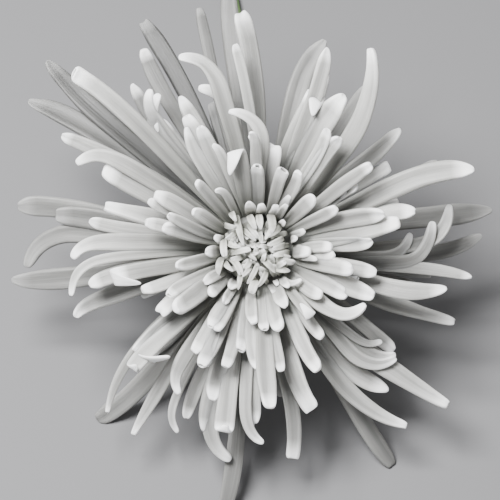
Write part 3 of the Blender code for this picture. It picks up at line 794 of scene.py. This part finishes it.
# the tubes on top of the tangle: root (across, up) and tip (across, up) as seen from the face, width,
# layer, and how far its middle bows aside
discFlorets = [
    (-4.8, 8.4, -3.1, 1.0, 1.5, 3, -0.4), (-1.9, 8.3, -0.3, 4.8, 1.7, 2, 0),
    (0.4, 8.5, 0.9, 4.8, 1.6, 2, 0), (3.0, 8.5, 3.4, 3.8, 2.0, 3, 0.5), (5.6, 5.6, 2.6, 2.9, 1.5, 2, 0),
    (6.3, 2.9, 2.4, 1.1, 1.4, 3, 0.2), (6.9, 1.2, 3.4, 0.1, 1.5, 2, 0),
    (7.6, -0.6, 3.6, -1.3, 1.5, 3, 0), (4.4, -2.3, 8.9, -3.1, 1.6, 3, 0),
    (4.2, -4.4, 7.9, -5.0, 1.4, 2, 0), (4.9, -1.5, 8.0, -1.7, 1.3, 3, 0),
    (4.6, -4.0, 6.8, -2.6, 1.3, 4, 0), (1.0, -1.8, 4.3, -5.3, 1.7, 2, 0.2),
    (0.2, -2.9, -2.4, -8.1, 1.2, 2, 0.4), (2.2, -5.0, 0.0, -8.9, 1.4, 3, 0.4),
    (-0.4, -6.9, -1.4, -10.3, 1.8, 3, 0), (-4.0, -5.6, -4.6, -9.4, 1.3, 3, 0.2),
    (-1.3, -3.9, -3.6, -6.4, 1.1, 3, 0), (-1.4, -2.4, -3.1, -4.7, 1.2, 2, 0),
    (-7.0, -1.9, -3.8, -6.0, 1.5, 2, 1.1), (-7.6, -2.7, -5.6, -5.0, 1.3, 3, -0.4),
    (-8.2, -1.8, -9.1, -6.1, 1.6, 3, -0.6), (-7.6, 2.8, -7.6, -1.5, 1.6, 3, -0.5),
    (-6.7, -0.9, -1.5, 0.2, 1.4, 3, 0.2), (-7.0, 2.3, -3.9, 0.9, 1.3, 3, -0.8),
    (-5.0, 4.8, -7.4, 2.6, 1.2, 2, 0.5), (-6.2, 9.0, -5.0, 6.7, 1.5, 4, 0),
    (-7.7, 6.0, -4.8, 5.5, 1.5, 4, -0.3), (-3.4, 4.9, -0.3, 2.2, 1.2, 2, 0),
    (-1.9, 5.8, 0.3, 2.9, 1.2, 1, 0), (0.4, 4.9, 1.2, 1.5, 1.4, 1, 0), (3.9, 5.5, 1.8, 2.5, 1.3, 1, 0),
    (0.2, -1.3, -0.7, 1.0, 1.0, 1.5, 0), (2.2, -1.6, 1.2, 0.3, 1.0, 1.5, 0),
    (-1.9, -1.4, 0.5, -0.5, 1.0, 1.5, 0), (1.3, -3.1, 1.8, -0.8, 1.0, 2, 0),
    (2.9, 0.7, 0.6, 1.0, 1.0, 1.5, 0), (-3.0, -1.6, -6.2, -2.3, 1.2, 2, 0),
    (-2.4, -0.6, -0.1, -2.5, 1.1, 2, 0),
]


def discPath(root, heading, length, bend):
    # a short tube that leaves upright and bends over towards heading
    side = Vector((-math.sin(heading), math.cos(heading), 0))
    points = [root]
    steps = discShape["steps"]
    for step in range(steps):
        t = (step + 1) / steps
        turn = Quaternion(side, bend * t ** discShape["bendPower"])
        point = points[-1] + turn @ Vector((0, 0, length / steps))
        out = Vector((point.x, point.y))
        if out.length > discShape["limit"]:
            out = out.normalized() * discShape["limit"]
        points.append(Vector((out.x, out.y, point.z)))
    return points, side


def archPath(root, tip, layer, bow):
    # a tube that rises from its root and arches over to its tip
    seat = bloom["headTop"] + bloom["gap"]
    ahead = (tip - root).normalized()
    aside = Vector((-ahead.y, ahead.x)) * bow
    top = seat + discShape["archUp"] + discShape["layerUp"] * layer
    end = top - discShape["tipDrop"] - discShape["outwardDrop"] * max(tip.length - root.length, 0)
    out, over = discShape["firstHandle"]
    first = Vector((*(root + aside * out), top + over))
    out, over = discShape["lastHandle"]
    last = Vector((*(root.lerp(tip, discShape["lastHandleAt"]) + aside * out), top + over))
    control = [Vector((*root, seat + discShape["rootUp"])), first, last, Vector((*tip, end))]
    steps = discShape["steps"]
    points = [bezier(control, step / steps) for step in range(steps + 1)]
    return points, Vector((-ahead.y, ahead.x, 0))


def addDiscFloret(bm, layers, points, side, width, pointed, draw):
    frames = walkPath(points, side)
    ends = discShape["pointedEnd"] if pointed else discShape["openEnd"]
    roll = math.radians(eitherWay(draw, discShape["roll"]))
    rings = []
    for part, wide in discShape["widths"] + ends:
        point, ahead, across = frameAt(frames, part * frames[-1][0])
        half = 0.5 * width * wide
        thick = discShape["thickness"] * half
        matrix = ringMatrix(point, ahead, across, half, thick, roll * part, faceToWorld)
        rings.append((matrix, part, max(0, part - discShape["paleFrom"]) * discShape["paleRate"]))
    if not pointed:
        rings = addMouth(rings, width, discShape["mouth"])
    brightness = draw.uniform(*discShape["brightRange"])
    rows = growTube(bm, layers, discShape["section"], rings, brightness, draw.random())
    ruffle(rows[discShape["plainRings"]:], discShape["ruffle"] * width * mm, draw)


def makeDiscFlorets():
    draw = random.Random(discShape["seed"])
    bm, layers = newPiece()
    seat = bloom["headTop"] + bloom["gap"]
    profile = [(radius, seat + height) for radius, height in discShape["button"]]
    spinSolid(bm, layers, profile, steps=20, brightness=0.5)
    stray = discShape["stray"]
    for count, out, height, lengths, bends in discShape["rings"]:
        for index in range(count):
            turned = 360 * (index + eitherWay(draw, stray["round"])) / count + discShape["ringTurn"] * out
            place = math.radians(turned)
            away = out + eitherWay(draw, stray["out"])
            up = seat + height + eitherWay(draw, stray["up"])
            root = Vector((away * math.cos(place), away * math.sin(place), up))
            heading = place + eitherWay(draw, stray["heading"]) + math.pi
            bend = math.radians(draw.uniform(*bends))
            points, side = discPath(root, heading, draw.uniform(*lengths), bend)
            addDiscFloret(bm, layers, points, side, draw.uniform(*discShape["width"]), True, draw)
    for rootX, rootY, tipX, tipY, width, layer, bow in discFlorets:
        points, side = archPath(Vector((rootX, rootY)), Vector((tipX, tipY)), layer, bow)
        pointed = draw.random() < discShape["pointedShare"]
        addDiscFloret(bm, layers, points, side, width * discShape["full"], pointed, draw)
    finishPiece(bm, "disc_floret_tangle", discSkin, "disc_florets")


makeDiscFlorets()
print("disc florets grown")

stemShape = {
    "seed": 3, "rings": 60, "uneven": 0.02,
    "radius": 2.15, "ribs": 9, "ribDepth": 0.09,
    "flare": 0.06, "flareRings": 6,         # wider where it leaves the cup
    "scars": (0.42, 0.63, 0.86),            # where leaves were stripped off, as shares of the length
    "scarSwell": 0.1, "scarLength": 2.2, "scarPale": 0.25,
    "solidRadius": 2.2, "solidSides": 8,    # as in the solid, whose flat side lies down
    "start": 5.1,                           # how deep in the cup it starts
    "run": 90, "drift": -5.5, "driftLength": 82, "driftPower": 2.5, "pathSteps": 30,
    "cut": math.radians(35),
    "rimPale": 0.15, "cutFace": [(0.97, 0.3), (0.78, 0.9), (0.3, 1.0)],     # rim to pith: width, paleness
}


def stemDrift(run):
    curved = min(run, stemShape["driftLength"])
    power = stemShape["driftPower"]
    rate = stemShape["drift"] * power / stemShape["driftLength"]
    return stemShape["drift"] * (curved / stemShape["driftLength"]) ** power + rate * (run - curved)


def stemPath():
    # out of the cup, round its bend and along the surface
    place = Matrix.Translation(bloom["centre"]) @ tilt
    start = place @ Vector((0, 0, bloom["headBottom"] - bloom["gap"] - stemShape["start"]))
    turn = math.pi / 2 - bloom["lean"]
    lying = stemShape["solidRadius"] * math.cos(math.pi / stemShape["solidSides"])
    bend = (start.z - lying) / (1 - math.cos(turn))
    steps = stemShape["pathSteps"]
    profile = []
    for step in range(steps + 1):
        angle = turn * (1 - step / steps)
        profile.append((bend * (math.sin(turn) - math.sin(angle)), lying + bend * (1 - math.cos(angle))))
    landing = profile[-1][0]
    for step in range(1, steps + 1):
        profile.append((landing + stemShape["run"] * step / steps, lying))
    return [Vector((start.x + stemDrift(run), start.y + run, height)) for run, height in profile]


def makeStem():
    draw = random.Random(stemShape["seed"])
    bm, layers = newPiece()
    frames = walkPath(stemPath(), Vector((1, 0, 0)))
    length = frames[-1][0]
    rings = []
    count = stemShape["rings"]
    for step in range(count + 1):
        distance = length * step / count
        point, along, across = frameAt(frames, distance)
        aways = [(distance - length * scar) / stemShape["scarLength"] for scar in stemShape["scars"]]
        scar = sum(math.exp(-away * away) for away in aways)
        half = stemShape["radius"] * (1 + eitherWay(draw, stemShape["uneven"]))
        half *= 1 + stemShape["flare"] * (1 - min(step / stemShape["flareRings"], 1))
        half *= 1 + stemShape["scarSwell"] * scar
        matrix = ringMatrix(point, along, across, half, half, 0, lyingToWorld)
        rings.append((matrix, 1 - step / count, stemShape["scarPale"] * scar))
    slant = Matrix.Identity(4)
    slant[1][2] = -math.tan(stemShape["cut"])
    end = lyingToWorld @ Matrix.Translation(frames[-1][1])
    last = end @ slant @ end.inverted() @ rings[-1][0]
    rings[-1] = (last, 0.0, stemShape["rimPale"])
    for wide, pale in stemShape["cutFace"]:
        rings.append((last @ Matrix.Diagonal((wide, wide, 1, 1)), 0.0, pale))
    dip = 1 - stemShape["ribDepth"]
    section = [(1, 1) if side % 2 else (dip, dip) for side in range(2 * stemShape["ribs"])]
    growTube(bm, layers, section, rings, brightness=1.0, ownNumber=0.3)
    finishPiece(bm, "ribbed_stem", greenSkin, "stem_with_bracts")


cupShape = {
    "side": [(8.0, 0.0), (7.7, 2.2), (5.44, 5.0), (3.2, 7.0), (2.279, 8.5)],    # radius, depth
    "seed": 14,
    # rows of bracts: how many, height of their roots, length, slope
    "bractRows": [(16, -9.2, 9.0, 6), (14, -10.8, 7.6, -8), (11, -12.6, 5.6, -22)],
    "bractStray": 4, "bractLengths": (0.9, 1.08),       # degrees, shares of the length
    "bractRoot": 4.4,                       # how far out it is
    "bractWidth": 3.6, "bractDepth": 0.8, "bractSag": 0.7, "bractSteps": 10,
    "bractThinning": 0.6,                   # how much thinner the tip is than the root
    "numberTurns": 0.137,                   # how a bract's own number goes on with its direction
    # share of the way, share of the width, paleness
    "bractRings": [
        (0, 0.85, 0), (0.3, 1, 0), (0.55, 0.98, 0.05), (0.78, 0.72, 0.2), (0.93, 0.36, 0.5), (1, 0.1, 0.8),
    ],
    "bractSection": [(1, 1), (1, 1), (1, 0.2), (1, 1), (1, 1), (1, 1), (1, 0.2), (1, 1)],
}


def makeCup():
    # the green cup under the head, with its rows of bracts
    bm, layers = newPiece()
    top = bloom["headBottom"] - bloom["gap"]
    side = [(radius, top - depth) for radius, depth in cupShape["side"]]
    spinSolid(bm, layers, [(0, top), *side, (0, side[-1][1])], steps=24, brightness=0.9)
    draw = random.Random(cupShape["seed"])
    for count, height, length, rise in cupShape["bractRows"]:
        offset = draw.uniform(0, 360 / count)
        for index in range(count):
            direction = offset + 360 * index / count + eitherWay(draw, cupShape["bractStray"])
            addBract(bm, layers, direction, height, length * draw.uniform(*cupShape["bractLengths"]), rise)
    finishPiece(bm, "cup_with_bracts", greenSkin, "stem_with_bracts")


def addBract(bm, layers, direction, height, length, rise):
    root = Vector((cupShape["bractRoot"], height))
    tip = root + slope(length, rise)
    angle = math.radians(direction)
    points = []
    steps = cupShape["bractSteps"]
    for step in range(steps + 1):
        t = step / steps
        out, up = root.lerp(tip, t)
        up -= cupShape["bractSag"] * math.sin(math.pi * t)
        points.append(Vector((out * math.cos(angle), out * math.sin(angle), up)))
    frames = walkPath(points, Vector((-math.sin(angle), math.cos(angle), 0)))
    rings = []
    for part, wide, pale in cupShape["bractRings"]:
        point, along, across = frameAt(frames, part * frames[-1][0])
        half = 0.5 * cupShape["bractWidth"] * wide
        thick = 0.5 * cupShape["bractDepth"] * (1 - cupShape["bractThinning"] * part)
        rings.append((ringMatrix(point, along, across, half, thick, 0, faceToWorld), part, pale))
    ownNumber = cupShape["numberTurns"] * direction % 1
    growTube(bm, layers, cupShape["bractSection"], rings, brightness=1.0, ownNumber=ownNumber)


makeCup()
makeStem()
print("stem and bracts made")

studio = {
    "floorColour": (0.135, 0.135, 0.139, 1), "floorRoughness": 0.8, "floorSize": 3, "skyLight": 0.55,
    "keyPower": 11.3, "keySize": 0.2, "keyPlace": Vector((-0.16, 0.22, 0.42)),
    # the frame's width (m) at the bloom, the camera's distance, and the pixel that the bloom's centre is at
    "frameWidth": 0.12, "distance": 1.0, "centrePixel": (257, 250), "pixels": 500,
    "sensor": 36, "clip": (0.05, 20),
}


def makeStudio():
    bm = bmesh.new()
    bmesh.ops.create_grid(bm, x_segments=1, y_segments=1, size=studio["floorSize"])
    mesh = bpy.data.meshes.new("studio_floor")
    bm.to_mesh(mesh)
    bm.free()
    floor = newObject("studio_floor", mesh)
    material, nodes = newMaterial("pale floor")
    look = {"Base Color": studio["floorColour"], "Roughness": studio["floorRoughness"]}
    setInputs(nodes["Principled BSDF"], look)
    mesh.materials.append(material)
    sky = bpy.data.worlds.new("studio")
    sky.use_nodes = True
    look = {"Color": (1, 1, 1, 1), "Strength": studio["skyLight"]}
    setInputs(sky.node_tree.nodes["Background"], look)
    bpy.context.scene.world = sky
    centre = bloom["centre"] * mm
    lamp = bpy.data.lights.new("key", "AREA")
    lamp.energy = studio["keyPower"]
    lamp.size = studio["keySize"]
    key = newObject("key", lamp)
    key.location = centre + tilt.to_3x3() @ studio["keyPlace"]
    key.rotation_euler = (centre - key.location).to_track_quat("-Z", "Y").to_euler()
    key.visible_camera = False


def makeCamera():
    lens = bpy.data.cameras.new("camera")
    camera = newObject("camera", lens)
    scale, half = studio["frameWidth"] / studio["pixels"], studio["pixels"] / 2
    right = (half - studio["centrePixel"][0]) * scale
    up = (studio["centrePixel"][1] - half) * scale
    place = bloom["centre"] * mm + tilt.to_3x3() @ Vector((right, up, studio["distance"]))
    camera.matrix_world = Matrix.Translation(place) @ tilt
    lens.sensor_width = studio["sensor"]
    lens.lens = studio["sensor"] * studio["distance"] / studio["frameWidth"]
    lens.clip_start, lens.clip_end = studio["clip"]
    bpy.context.scene.camera = camera


makeStudio()
makeCamera()
print("studio lit")
